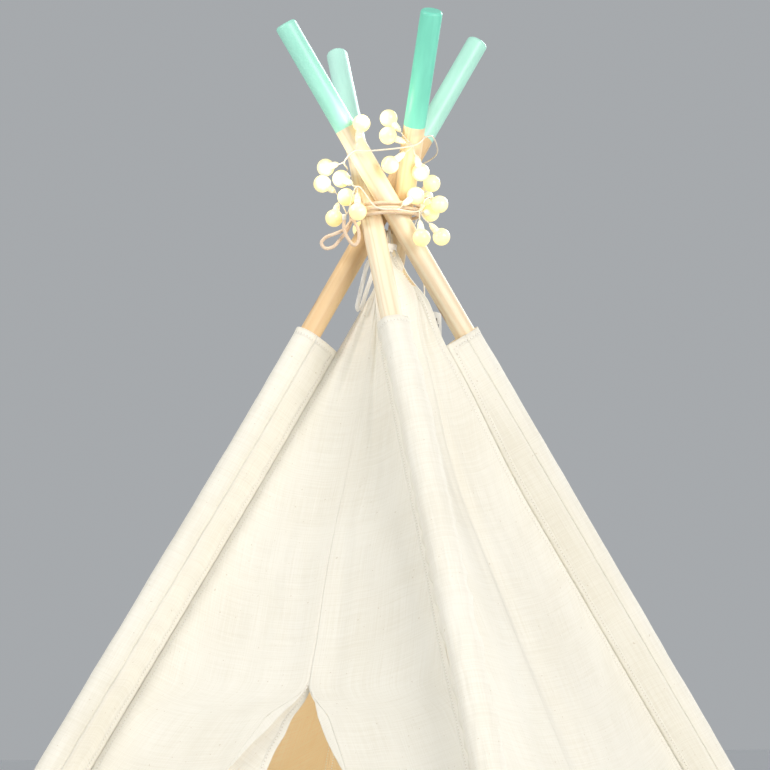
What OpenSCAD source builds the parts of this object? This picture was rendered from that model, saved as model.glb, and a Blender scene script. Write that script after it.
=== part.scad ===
// Children's play tent: four crossed wooden poles, a four-sided canvas cover with
// corner sleeves and a parted door, a lashing cord and a string of globe lights.
// Millimetres, +Z up, origin on the floor midway between the four feet.
// The door is in the panel that faces -Y.

/* [Frame] */
// Distance between neighbouring feet, along the floor
base_side = 1200; // [1100:10:1300]
// Height above the floor at which the poles cross
hub_h = 1418; // [1350:1:1480]
// Diameter of a pole
pole_d = 28; // [26:1:28]
// Length of a pole above the crossing
tip_len = 268; // [220:1:300]
// Sideways offset of each pole's axis from the tent's axis, so that the poles pass each other
cross_off = 22.2; // [22.2:0.1:23]
// Length of a pole's upper half below the crossing
upper_below = 720; // [650:10:800]
// Length of the metal joint between a pole's halves
ferrule_len = 90; // [60:5:120]
// Height of the plastic foot caps along the pole
foot_cap_len = 48; // [40:1:60]

/* [Cover] */
// Distance from the crossing to the top of each sleeve, along the pole
sleeve_top = 190; // [170:5:230]
// Distance from a pole's axis to the seam where sleeve and panels meet
seam_inset = 43; // [38:1:48]
// Thickness of the cover's solids
cloth_t = 1.2; // [1:0.1:2]
// Height of the cover's lower edge above the floor
hem_gap = 8; // [6:1:15]
// Height of the top of the door slit
slit_h = 816; // [700:1:820]
// Sideways spread of the door's fold line for each millimetre below the slit's top
door_spread = 0.59; // [0.5:0.01:0.59]

/* [Cord and lights] */
// Diameter of the cotton lashing cord
cord_d = 4.6; // [4:0.1:5]
// Turns of the lashing round the crossing
lash_turns = 3; // [2:1:4]
// Diameter of a globe bulb
bulb_d = 22.5; // [20:0.5:24]
// Diameter of the light string's wire
wire_d = 2; // [1.8:0.1:2.4]
// Width, height and depth of the battery case
case_size = [36, 76, 21]; // [20:1:80]

/* [Hidden] */
$fn = 48;

canvas = [0.96, 0.95, 0.9];
pine = [0.93, 0.8, 0.6];
cotton = [0.9, 0.83, 0.76];

// Poles: a foot stands on each corner of the base square
corner_r = base_side / sqrt(2);
foot_r = sqrt(corner_r * corner_r - cross_off * cross_off);
splay = atan(foot_r / hub_h);
twist = atan(cross_off / foot_r);
foot_len = hub_h / cos(splay);
foot_gap = 13;
tip_round = 4;
joint_gap = 0.2;

// Cover: the seams are parallel to the poles and meet at the cover's apex
apex_h = hub_h - seam_inset / sin(splay);
seam_r = corner_r - seam_inset / cos(splay);
panel_tilt = atan(seam_r / sqrt(2) / apex_h);
half_rate = seam_r / sqrt(2) / (apex_h / cos(panel_tilt));
panel_top = 40;
panel_end = (apex_h - hem_gap) / cos(panel_tilt);
slit_v = (apex_h - slit_h) / cos(panel_tilt);
seam_gap = 4;
mid_gap = 0.4;
slit_offset = 16;
flap_band = 44;
flap_start = 60;
flap_t = 10;
sleeve_bore = pole_d + 6;
sleeve_wall = 1.2;
sleeve_end = foot_len - foot_cap_len - 2;

function unit(v) = v / norm(v);
function pole_way(corner) =
    let (a = 45 + 90 * corner + twist)
    [sin(splay) * cos(a), sin(splay) * sin(a), -cos(splay)];
function pole_start(corner) =
    let (a = 45 + 90 * corner + twist)
    [cross_off * sin(a), -cross_off * cos(a), hub_h];
function pole_point(corner, len) = pole_start(corner) + len * pole_way(corner);

// Routes below are measured from the crossing, as [x, y, height]
BOW = [
    [-20, -39, -14], [-27, -42, -20], [-33, -48, -30], [-44, -54, -36], [-55, -58, -40],
    [-61, -60, -47], [-57, -57, -54], [-48, -52, -52], [-41, -47, -43], [-34, -41, -31],
    [-31, -36, -20], [-30, -38, -10], [-26, -45, -8], [-21, -48, -18], [-14, -47, -32],
    [-14, -46, -45], [-19, -48, -52], [-25, -51, -46], [-30, -55, -32], [-29, -56, -16]
];
WIRE = [
    [14, 76, -129], [14, 76, -114], [10, 80, -75], [4, 84, -40], [2, 70, -16], [-26, 54, 0], [-46, 34, 10], [-52, 6, 16],
    [-56, -20, 20], [-44, -28, -2], [-30, -44, -8], [-10, -54, 22], [14, -50, -6], [38, -38, -10],
    [54, -10, -10], [50, 14, 8], [42, 40, 16], [10, 58, 20], [-26, 54, 34], [-54, 30, 44],
    [-56, 0, 50], [-36, -34, 50], [-30, -52, 56], [-8, -64, 66], [16, -62, 64], [62, -36, 70],
    [73, -22, 82], [74, -4, 84], [44, 60, 76], [14, 70, 66], [-14, 52, 60], [-20, 44, 50]
];
BULBS = [
    [6, -70, 99], [29, -40, 108], [32, -48, 84], [-65, -40, 54], [-64, -51, 31], [-42, -40, 37],
    [-34, -42, 12], [-9, -56, -11], [-54, -39, -13], [33, -45, 47], [60, -14, 39], [67, 22, 2],
    [68, 24, -40], [62, -18, -46], [51, -12, 10], [48, 33, -6], [-40, 66, 24], [14, 80, 24],
    [40, 52, 36], [-56, 34, -18]
];
socket_d = 9;
socket_len = 13;
lead_d = 1.6;
lead_reach = 34;

// The battery case hangs behind the crossing, below the wire's first point
case_wall = 1.6;
case_pos = [-4, 66, -205];
lid_t = 1.6;
cell_d = 14.2;
cell_len = 50;

function helix(r, z_low, z_high, turns, steps) = [
    for (k = [0:steps]) let (a = 250 - 360 * turns * k / steps)
    [r * cos(a), r * sin(a), z_high + (z_low - z_high) * k / steps]
];
function way(p, i) = unit(p[min(i + 1, len(p) - 1)] - p[max(i - 1, 0)]);
function square_to(v, t) = unit(v - (v * t) * t);
function normals(p, i, last) =
    i == len(p) ? [] :
    let (n = square_to(last, way(p, i))) concat([n], normals(p, i + 1, n));

// A tube that follows a list of points without twisting
module tube(p, d, sides = 8) {
    first = abs(way(p, 0)[2]) < 0.9 ? [0, 0, 1] : [1, 0, 0];
    across = normals(p, 0, first);
    rings = [
        for (i = [0:len(p) - 1]) let (t = way(p, i), n = across[i], b = cross(t, n))
        for (k = [0:sides - 1]) let (a = 360 * k / sides)
        p[i] + d / 2 * (cos(a) * n + sin(a) * b)
    ];
    last = (len(p) - 1) * sides;
    polyhedron(rings, concat(
        [[for (k = [0:sides - 1]) k]],
        [for (i = [0:len(p) - 2]) for (k = [0:sides - 1])
            let (a = i * sides + k, b = i * sides + (k + 1) % sides)
            each [[a, a + sides, b], [b, a + sides, b + sides]]],
        [[for (k = [sides - 1:-1:0]) last + k]]
    ));
}

// Puts its children at the crossing with Z along a pole, tip up, and X facing outwards
module at_pole(corner) {
    translate([0, 0, hub_h]) rotate([0, 0, 45 + 90 * corner + twist])
    translate([0, -cross_off, 0]) rotate([0, -splay, 0]) children();
}

// Puts a flat shape in a panel: X across it, Y up its slope from the apex, Z outwards
module in_panel(side) {
    rotate([0, 0, 90 * side]) translate([0, 0, apex_h]) rotate([90 - panel_tilt, 0, 0]) children();
}

module mirrored(flip) {
    if (flip) mirror([1, 0, 0]) children();
    else children();
}

module pole_upper(corner) {
    r = pole_d / 2;
    color(pine) at_pole(corner) rotate_extrude() polygon(concat(
        [[0, -upper_below], [r, -upper_below]],
        [for (a = [0:15:90]) [r - tip_round + tip_round * cos(a), tip_len - tip_round + tip_round * sin(a)]],
        [[0, tip_len]]
    ));
}

module pole_lower(corner) {
    color(pine) at_pole(corner) translate([0, 0, -foot_len + foot_gap])
    cylinder(d = pole_d, h = foot_len - foot_gap - upper_below - joint_gap);
}

module ferrule(corner) {
    wall = 0.8;
    bore = pole_d + 0.1;
    color("silver") at_pole(corner) translate([0, 0, -upper_below - ferrule_len / 2]) difference() {
        cylinder(d = bore + 2 * wall, h = ferrule_len);
        translate([0, 0, -1]) cylinder(d = bore, h = ferrule_len + 2);
    }
}

module foot_cap(corner) {
    wall = 2.2;
    bore = pole_d + 0.2;
    reach = 30;
    foot = pole_point(corner, foot_len);
    color("white") intersection() {
        at_pole(corner) difference() {
            translate([0, 0, -foot_len - reach]) cylinder(d = bore + 2 * wall, h = foot_cap_len + reach);
            translate([0, 0, -foot_len + foot_gap]) cylinder(d = bore, h = foot_cap_len);
        }
        translate([foot[0] - 100, foot[1] - 100, 0]) cube([200, 200, 100]);
    }
}

// A tube of canvas round the pole, and the two layers that run inwards to the seam
module sleeve(corner) {
    fin_t = 3;
    fin_start = (sleeve_bore + sleeve_wall) / 2;
    len = sleeve_end - sleeve_top;
    color(canvas) at_pole(corner) translate([0, 0, -sleeve_end]) union() {
        difference() {
            cylinder(d = sleeve_bore + 2 * sleeve_wall, h = len);
            translate([0, 0, -1]) cylinder(d = sleeve_bore, h = len + 2);
        }
        translate([-seam_inset, -fin_t / 2, 0]) cube([seam_inset - fin_start, fin_t, len]);
    }
}

// Half of a panel, from its middle line to the seam
module panel_half(side, flip) {
    color(canvas) in_panel(side) mirrored(flip) translate([0, 0, -cloth_t]) linear_extrude(cloth_t)
    polygon([
        [mid_gap, -panel_top],
        [half_rate * panel_top - seam_gap, -panel_top],
        [half_rate * panel_end - seam_gap, -panel_end],
        [mid_gap, -panel_end]
    ]);
}

// Half of the door panel: below the slit it ends at the flap's fold line
module door_panel_half(flip) {
    fold_end = slit_offset + door_spread * (panel_end - slit_v);
    color(canvas) in_panel(0) mirrored(flip) translate([0, 0, -cloth_t]) linear_extrude(cloth_t)
    polygon([
        [mid_gap, -panel_top],
        [half_rate * panel_top - seam_gap, -panel_top],
        [half_rate * panel_end - seam_gap, -panel_end],
        [fold_end, -panel_end],
        [slit_offset, -slit_v],
        [mid_gap, -slit_v]
    ]);
}

// The gathered flap beside the door
module door_flap(flip) {
    clear = 3;
    // The flap is lifted aside, so that it just reaches the hem when it swings to the middle
    drop = 0.82 * (panel_end - slit_v);
    fold_top = slit_offset + door_spread * flap_start;
    fold_end = slit_offset + door_spread * drop;
    color(canvas) in_panel(0) mirrored(flip) translate([0, 0, -flap_t]) linear_extrude(flap_t)
    polygon([
        [fold_top - clear, -slit_v - flap_start],
        [fold_end - clear, -slit_v - drop],
        [fold_end - clear - flap_band, -slit_v - drop],
        [fold_top - clear - 11, -slit_v - flap_start]
    ]);
}

// The tape that holds a gathered flap, sewn inside the panel beside the fold line
module tie_back(flip) {
    drop = 430;
    tape_len = 44;
    tape_w = 22;
    tape_t = 1;
    fold_x = slit_offset + door_spread * drop;
    color(canvas) in_panel(0) mirrored(flip) translate([0, 0, -cloth_t - 0.5 - tape_t])
    linear_extrude(tape_t) translate([fold_x + 4, -slit_v - drop]) square([tape_len, tape_w]);
}

// Four ribbons that hang the tops of the panels from the crossing
module apex_ties() {
    ribbon_w = 6;
    ribbon_t = 1;
    top = hub_h - 30;
    bottom = apex_h - panel_top * cos(panel_tilt) + 4;
    color("white") for (side = [0:3]) rotate([0, 0, 90 * side])
    translate([-ribbon_w / 2, -5 - ribbon_t, bottom]) cube([ribbon_w, ribbon_t, top - bottom]);
}

module lashing_cord() {
    color(cotton) translate([0, 0, hub_h]) tube(helix(43, -13, 6, lash_turns, 10 * lash_turns), cord_d, 8);
}

module lashing_bow() {
    color(cotton) translate([0, 0, hub_h]) tube(BOW, cord_d, 8);
}

module light_wire() {
    color("white") translate([0, 0, hub_h]) tube(WIRE, wire_d, 8);
}

// Each bulb hangs from the wire's point whose distance is nearest to lead_reach
function hook_point(p) =
    let (gaps = [for (q = WIRE) abs(norm(p - q) - lead_reach)], least = min(gaps))
    WIRE[[for (i = [0:len(WIRE) - 1]) if (gaps[i] == least) i][0]];

module along(from, to) {
    v = to - from;
    translate(from) rotate([0, acos(v[2] / norm(v)), atan2(v[1], v[0])]) children();
}

module bulb_leads() {
    color("white") translate([0, 0, hub_h]) for (b = BULBS) {
        hook = hook_point(b);
        gap = norm(hook - b) - bulb_d / 2 - socket_len - 2 * wire_d;
        if (gap > 1) along(b, hook) translate([0, 0, bulb_d / 2 + socket_len + 0.2]) cylinder(d = lead_d, h = gap);
    }
}

module bulb_sockets() {
    color("white") translate([0, 0, hub_h]) for (b = BULBS)
    along(b, hook_point(b)) difference() {
        translate([0, 0, bulb_d / 2 - 1]) cylinder(d = socket_d, h = socket_len);
        sphere(d = bulb_d + 0.2);
    }
}

module bulbs() {
    color([1, 0.96, 0.75]) translate([0, 0, hub_h]) for (b = BULBS) translate(b) sphere(d = bulb_d);
}

module at_case() {
    translate([case_pos[0], case_pos[1], hub_h + case_pos[2]]) children();
}

// An open box whose mouth faces +Y, with a slot for the switch in its side
module battery_case() {
    color("white") at_case() difference() {
        cube([case_size[0], case_size[2] - lid_t, case_size[1]]);
        translate([case_wall, case_wall, case_wall])
        cube([case_size[0] - 2 * case_wall, case_size[2], case_size[1] - 2 * case_wall]);
        translate([case_size[0] - 2 * case_wall, 6, 52]) cube([3 * case_wall, 4, 16]);
    }
}

module battery_lid() {
    color("white") at_case() translate([0, case_size[2] - lid_t + 0.1, 0])
    cube([case_size[0], lid_t, case_size[1]]);
}

module battery_switch() {
    color("gray") at_case() translate([case_size[0] - case_wall - 1, 6.3, 53])
    cube([case_wall + 3, 3.4, 7]);
}

module battery_cells() {
    color("silver") at_case() for (x = [10.2, 25.8]) translate([x, 10.4, 7]) cylinder(d = cell_d, h = cell_len);
}

pole_upper(0);  // pole_upper_back_right
pole_upper(1);  // pole_upper_back_left
pole_upper(2);  // pole_upper_front_left
pole_upper(3);  // pole_upper_front_right
pole_lower(0);  // pole_lower_back_right
pole_lower(1);  // pole_lower_back_left
pole_lower(2);  // pole_lower_front_left
pole_lower(3);  // pole_lower_front_right
ferrule(0);  // ferrule_back_right
ferrule(1);  // ferrule_back_left
ferrule(2);  // ferrule_front_left
ferrule(3);  // ferrule_front_right
foot_cap(0);  // foot_cap_back_right
foot_cap(1);  // foot_cap_back_left
foot_cap(2);  // foot_cap_front_left
foot_cap(3);  // foot_cap_front_right
sleeve(0);  // sleeve_back_right
sleeve(1);  // sleeve_back_left
sleeve(2);  // sleeve_front_left
sleeve(3);  // sleeve_front_right
door_panel_half(true);  // panel_front_left_half
door_panel_half(false);  // panel_front_right_half
panel_half(1, true);  // panel_right_front_half
panel_half(1, false);  // panel_right_back_half
panel_half(2, true);  // panel_back_right_half
panel_half(2, false);  // panel_back_left_half
panel_half(3, true);  // panel_left_back_half
panel_half(3, false);  // panel_left_front_half
door_flap(true);  // door_flap_left
door_flap(false);  // door_flap_right
tie_back(true);  // tie_back_left
tie_back(false);  // tie_back_right
apex_ties();
lashing_cord();
lashing_bow();
light_wire();
bulb_leads();
bulb_sockets();
bulbs();
battery_case();
battery_lid();
battery_switch();
battery_cells();
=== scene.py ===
import math

import bpy
import numpy as np
from mathutils import Matrix, Vector


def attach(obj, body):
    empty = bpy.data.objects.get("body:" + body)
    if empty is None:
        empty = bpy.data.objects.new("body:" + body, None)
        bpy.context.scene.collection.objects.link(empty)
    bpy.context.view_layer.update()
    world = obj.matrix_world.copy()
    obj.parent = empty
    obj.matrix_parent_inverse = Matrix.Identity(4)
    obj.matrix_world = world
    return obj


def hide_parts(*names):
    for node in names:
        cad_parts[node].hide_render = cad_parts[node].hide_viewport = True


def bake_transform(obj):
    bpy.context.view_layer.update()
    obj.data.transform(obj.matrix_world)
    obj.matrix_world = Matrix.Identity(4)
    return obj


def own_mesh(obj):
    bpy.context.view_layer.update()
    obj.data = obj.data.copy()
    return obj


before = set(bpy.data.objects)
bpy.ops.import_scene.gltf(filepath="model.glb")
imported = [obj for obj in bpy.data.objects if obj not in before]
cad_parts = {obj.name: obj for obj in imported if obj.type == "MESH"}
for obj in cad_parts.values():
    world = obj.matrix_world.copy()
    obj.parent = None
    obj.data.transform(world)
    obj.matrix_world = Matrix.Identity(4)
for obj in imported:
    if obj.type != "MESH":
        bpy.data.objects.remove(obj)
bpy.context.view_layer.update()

# ---- the part's driving dimensions, in metres
HUB, OFF = 1.418, 0.0222  # height of the crossing, and how far each pole passes off the middle
INSET, SLEEVE_TOP = 0.043, 0.190  # pole to seam, and crossing to the sleeves' top
SLIT = 0.816  # height of the door slit's top
CORNER = 1.2 / math.sqrt(2)
FOOT = math.sqrt(CORNER**2 - OFF**2)
SPLAY, TWIST = math.atan(FOOT / HUB), math.atan(OFF / FOOT)
FOOT_LEN = HUB / math.cos(SPLAY)
APEX = HUB - INSET / math.sin(SPLAY)
TILT = math.atan((CORNER - INSET / math.cos(SPLAY)) / math.sqrt(2) / APEX)
HEM_Z, TOP_Z, CLOTH = 0.008, 1.385, 0.0011  # the cover's hem, its top, the canvas's thickness
DOOR_SLOPE, DOOR_START = 0.59, 0.016  # the door's fold line: metres sideways a metre down, and at the top
TIE_DOWN = 0.43  # tie-back tapes, down the slope from the slit's top
CORD_D, FLEX_D, LEAD_D = 0.0046, 0.002, 0.0009
CORD_STEP = 0.0012  # metres between the points of a cord's line
CORNERS = ["back_right", "back_left", "front_left", "front_right"]


def smooth(x, a, b):
    t = np.clip((np.asarray(x, float) - a) / (b - a), 0, 1)
    return t * t * (3 - 2 * t)


def axes(c):
    """Start, way down, outwards and sideways of a pole."""
    a = math.radians(45 + 90 * c) + TWIST
    return (np.array([OFF * math.sin(a), -OFF * math.cos(a), HUB]),
            np.array([math.sin(SPLAY) * math.cos(a), math.sin(SPLAY) * math.sin(a), -math.cos(SPLAY)]),
            np.array([math.cos(SPLAY) * math.cos(a), math.cos(SPLAY) * math.sin(a), math.sin(SPLAY)]),
            np.array([-math.sin(a), math.cos(a), 0.0]))


# ---- camera: the photo's viewing angle
def make_camera():
    dist, az, el, roll = 4.0, math.radians(29.3), math.radians(-9.35), math.radians(-0.85)
    # in pixels of the photo: its size, the focal length, and the crossing's place off its middle
    photo, f, off_x, off_y = 770, 3106.25, 3.13, 176.54
    back = Vector((math.sin(az) * math.cos(el), -math.cos(az) * math.cos(el), math.sin(el)))
    pos = Vector((0, 0, HUB)) + dist * back
    fwd, right = -back, Vector((math.cos(az), math.sin(az), 0))
    up = right.cross(fwd)
    pan = math.atan(off_x / f)
    tilt = math.atan(off_y / f * math.cos(pan))
    f1 = fwd * math.cos(tilt) - up * math.sin(tilt)
    u1 = right.cross(f1)
    f2 = f1 * math.cos(pan) - right * math.sin(pan)
    r2 = f2.cross(u1)
    r3 = r2 * math.cos(roll) + u1 * math.sin(roll)
    u3 = -r2 * math.sin(roll) + u1 * math.cos(roll)
    data = bpy.data.cameras.new("camera")
    data.sensor_width, data.lens = 36, f / photo * 36
    data.clip_start, data.clip_end = 0.05, 200
    cam = bpy.data.objects.new("camera", data)
    bpy.context.scene.collection.objects.link(cam)
    m = Matrix((r3, u3, -f2)).transposed().to_4x4()
    m.translation = pos
    cam.matrix_world = m
    bpy.context.scene.camera = cam


make_camera()


# ---- mesh helpers
def mesh_object(name, verts, faces, mats, face_mat=None, flat=None, uvs=None):
    """uvs: {layer: array of one uv per vertex}."""
    me = bpy.data.meshes.new(name)
    me.from_pydata([tuple(v) for v in verts], [], [tuple(int(i) for i in f) for f in faces])
    for m in mats:
        me.materials.append(m)
    n = len(me.polygons)
    if face_mat is not None:
        me.polygons.foreach_set("material_index", np.asarray(face_mat, np.int32))
    use = np.ones(n, bool) if flat is None else ~np.asarray(flat, bool)
    me.polygons.foreach_set("use_smooth", use)
    loops = np.zeros(len(me.loops), np.int32)
    me.loops.foreach_get("vertex_index", loops)
    for key, val in (uvs or {}).items():
        layer = me.uv_layers.new(name=key)
        layer.data.foreach_set("uv", np.asarray(val, np.float32)[loops].ravel())
    me.update()
    ob = bpy.data.objects.new(name, me)
    bpy.context.scene.collection.objects.link(ob)
    return ob


def grid_normals(P, outward):
    """Normals of a grid of points, on the side that outward gives."""
    du, dv = np.gradient(P, axis=1), np.gradient(P, axis=0)
    n = np.cross(du, dv)
    n /= np.linalg.norm(n, axis=2, keepdims=True) + 1e-12
    if np.sum(n * outward) < 0:
        n = -n
    return n


def thick_sheet(name, P, N, weave, edge, mats, t=CLOTH):
    """A closed sheet round grid points P (rows, columns, 3) with normals N: outer face material 0, inner 1, rim 2."""
    r, c = P.shape[:2]
    top, bot = P + N * t / 2, P - N * t / 2
    verts = np.concatenate([top.reshape(-1, 3), bot.reshape(-1, 3)])
    k = r * c
    ids = np.arange(k).reshape(r, c)
    a, b, d, e = ids[:-1, :-1], ids[:-1, 1:], ids[1:, 1:], ids[1:, :-1]
    quads = np.stack([a, b, d, e], -1).reshape(-1, 4)
    mid = (r // 2, c // 2)
    across = P[mid[0], mid[1] + 1] - P[mid[0], mid[1] - 1]
    along = P[mid[0] + 1, mid[1]] - P[mid[0] - 1, mid[1]]
    if np.dot(np.cross(across, along), N[mid]) < 0:
        quads = quads[:, ::-1]
    under = quads[:, ::-1] + k
    loop = np.concatenate([ids[0, :], ids[1:, -1], ids[-1, -2::-1], ids[-2:0:-1, 0]])
    nxt = np.roll(loop, -1)
    rim = np.stack([loop, nxt, nxt + k, loop + k], -1)
    # the rim runs against the outer face's own edge
    edge0 = (int(loop[0]), int(loop[1]))
    if any((f[i], f[(i + 1) % 4]) == edge0 for f in quads[:c + 2].tolist() for i in range(4)):
        rim = rim[:, ::-1]
    faces = np.concatenate([quads, under, rim])
    fm = np.concatenate([np.zeros(len(quads)), np.ones(len(under)), np.full(len(rim), 2)])
    flat = np.concatenate([np.zeros(len(quads) * 2), np.ones(len(rim))])
    uv = {"weave": np.concatenate([weave.reshape(-1, 2)] * 2),
          "edge": np.concatenate([edge.reshape(-1, 2)] * 2)}
    return mesh_object(name, verts, faces, mats, fm, flat, uv)


def no_edge(uv):
    """Layers for a piece that has no stitched edge."""
    return {"weave": uv, "edge": uv * 0 + 1}


def spline(points, step):
    """A smooth line through points, cut every step metres."""
    p = np.asarray(points, float)
    p = np.concatenate([[2 * p[0] - p[1]], p, [2 * p[-1] - p[-2]]])
    out = []
    for i in range(1, len(p) - 2):
        a, b, c, d = p[i - 1:i + 3]
        n = max(2, int(np.linalg.norm(c - b) / step * 1.6))
        for t in np.arange(n) / n:
            out.append(0.5 * (2 * b + (c - a) * t + (2 * a - 5 * b + 4 * c - d) * t**2
                              + (3 * b - a - 3 * c + d) * t**3))
    out.append(p[-2])
    out = np.array(out)
    s = np.concatenate([[0], np.cumsum(np.linalg.norm(np.diff(out, axis=0), axis=1))])
    m = max(2, int(round(s[-1] / step)))
    return np.stack([np.interp(np.linspace(0, s[-1], m + 1), s, out[:, k]) for k in range(3)], 1)


def length_of(p):
    return float(np.linalg.norm(np.diff(p, axis=0), axis=1).sum())


def carry(p):
    """Directions along a line and two across it that don't twist."""
    t = np.gradient(p, axis=0)
    t /= np.linalg.norm(t, axis=1, keepdims=True)
    n = np.cross(t[0], [0, 0, 1.0]) if abs(t[0][2]) < 0.9 else np.cross(t[0], [1.0, 0, 0])
    ns = []
    for i in range(len(p)):
        n = n - np.dot(n, t[i]) * t[i]
        n /= np.linalg.norm(n)
        ns.append(n)
    ns = np.array(ns)
    return t, ns, np.cross(t, ns)


def tube_faces(rings, sides):
    """Faces of rings of points joined in a row, and a fan at each end to the two points that come last."""
    k = rings * sides
    faces = []
    for i in range(rings - 1):
        for j in range(sides):
            x, y = i * sides + j, i * sides + (j + 1) % sides
            faces.append((x, y, y + sides, x + sides))
    for j in range(sides):
        faces.append((k, (j + 1) % sides, j))
        faces.append((k + 1, k - sides + j, k - sides + (j + 1) % sides))
    return faces


def around(a, n, b):
    """Directions at the angles a round each point of a line."""
    return np.cos(a)[None, :, None] * n[:, None] + np.sin(a)[None, :, None] * b[:, None]


def cord_mesh(name, path, d, mat, sides, strands, lay):
    """A laid cord of so many strands along a line; lay is the length of one turn."""
    p = np.asarray(path, float)
    _, n, b = carry(p)
    s = np.concatenate([[0], np.cumsum(np.linalg.norm(np.diff(p, axis=0), axis=1))])
    a = np.arange(sides) * 2 * np.pi / sides
    groove = np.abs(np.cos(strands / 2 * (a[None] - 2 * np.pi * s[:, None] / lay))) ** 0.7
    rad = d / 2 * (0.9 + 0.1 * groove)
    ring = p[:, None] + rad[..., None] * around(a, n, b)
    verts = np.concatenate([ring.reshape(-1, 3), p[:1], p[-1:]])
    k = len(p) * sides
    uv = np.zeros((k + 2, 2))
    uv[:k, 0] = np.tile(a / (2 * np.pi) * np.pi * d, len(p))
    uv[:k, 1] = np.repeat(s, sides)
    return mesh_object(name, verts, tube_faces(len(p), sides), [mat], uvs=no_edge(uv))


def ring_tube(p, d, sides):
    """Vertices and faces of a plain thin tube along a line."""
    _, n, b = carry(p)
    ring = p[:, None] + d / 2 * around(np.arange(sides) * 2 * np.pi / sides, n, b)
    return np.concatenate([ring.reshape(-1, 3), p[:1], p[-1:]]), tube_faces(len(p), sides)


def lathe(profile, at, way, sides):
    """Vertices and faces of a turned shape: profile is (along, radius) pairs, closed at both ends."""
    way = np.asarray(way, float) / np.linalg.norm(way)
    n = np.cross(way, [0, 0, 1.0]) if abs(way[2]) < 0.9 else np.cross(way, [1.0, 0, 0])
    n /= np.linalg.norm(n)
    b = np.cross(way, n)
    a = np.arange(sides) * 2 * np.pi / sides
    rows = [at + way * x + r * (np.cos(a)[:, None] * n + np.sin(a)[:, None] * b) for x, r in profile]
    verts = np.concatenate(rows + [[at + way * profile[0][0]], [at + way * profile[-1][0]]])
    return verts, tube_faces(len(profile), sides)


def join(parts):
    """One set of vertices and faces from many."""
    verts, faces, n = [], [], 0
    for v, f in parts:
        verts.append(v)
        faces += [tuple(i + n for i in x) for x in f]
        n += len(v)
    return np.concatenate(verts), faces


# ---- materials
def lin(r, g, b):
    """A linear colour from an sRGB one of 0 to 255."""
    f = lambda c: (c / 255 / 12.92) if c <= 10 else ((c / 255 + 0.055) / 1.055) ** 2.4
    return (f(r), f(g), f(b), 1.0)


class Graph:
    """Short ways to build a material's nodes."""

    def __init__(self, name, **uniform):
        self.mat = bpy.data.materials.new(name)
        self.mat.use_nodes = True
        self.tree = self.mat.node_tree
        self.out = self.tree.nodes["Principled BSDF"]
        for key, value in uniform.items():
            self.out.inputs[key.replace("_", " ")].default_value = value

    def node(self, kind, ins, out=0, **props):
        n = self.tree.nodes.new("ShaderNode" + kind)
        for k, v in props.items():
            setattr(n, k, v)
        for k, v in ins.items():
            self.put(n.inputs[k], v)
        return n.outputs[out]

    def put(self, socket, value):
        if isinstance(value, bpy.types.NodeSocket):
            self.tree.links.new(value, socket)
        else:
            socket.default_value = value

    def math(self, op, a, b=0.0):
        return self.node("Math", {0: a, 1: b}, operation=op)

    def mul(self, a, b):
        return self.math("MULTIPLY", a, b)

    def add(self, a, b):
        return self.math("ADD", a, b)

    def sub(self, a, b):
        return self.math("SUBTRACT", a, b)

    def mix(self, f, a, b):
        return self.node("Mix", {0: f, 6: a, 7: b}, out=2, data_type="RGBA")

    def ramp(self, x, lo, hi):
        """0 at lo to 1 at hi."""
        return self.node("MapRange", {0: x, 1: lo, 2: hi}, interpolation_type="SMOOTHSTEP")

    def noise(self, vec, scale, detail=3.0, rough=0.5):
        return self.node("TexNoise", {"Vector": vec, "Scale": scale, "Detail": detail, "Roughness": rough})

    def vec(self, x, y, z=0.0):
        return self.node("CombineXYZ", {0: x, 1: y, 2: z})

    def split(self, v):
        n = self.tree.nodes.new("ShaderNodeSeparateXYZ")
        self.put(n.inputs[0], v)
        return n.outputs

    def uv(self, name):
        return self.split(self.node("UVMap", {}, uv_map=name))

    def place(self):
        return self.node("TexCoord", {}, out=3)

    def vmath(self, op, a, b, out=0):
        return self.node("VectorMath", {0: a, 1: b}, out=out, operation=op)

    def bump(self, height, strength, distance, normal=None):
        ins = {"Height": height, "Strength": strength, "Distance": distance}
        if normal is not None:
            ins["Normal"] = normal
        return self.node("Bump", ins)

    def end(self, color=None, rough=None, normal=None, **more):
        for key, value in (("Base Color", color), ("Roughness", rough), ("Normal", normal)):
            if value is not None:
                self.put(self.out.inputs[key], value)
        for key, value in more.items():
            self.put(self.out.inputs[key.replace("_", " ")], value)
        return self.mat


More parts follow.
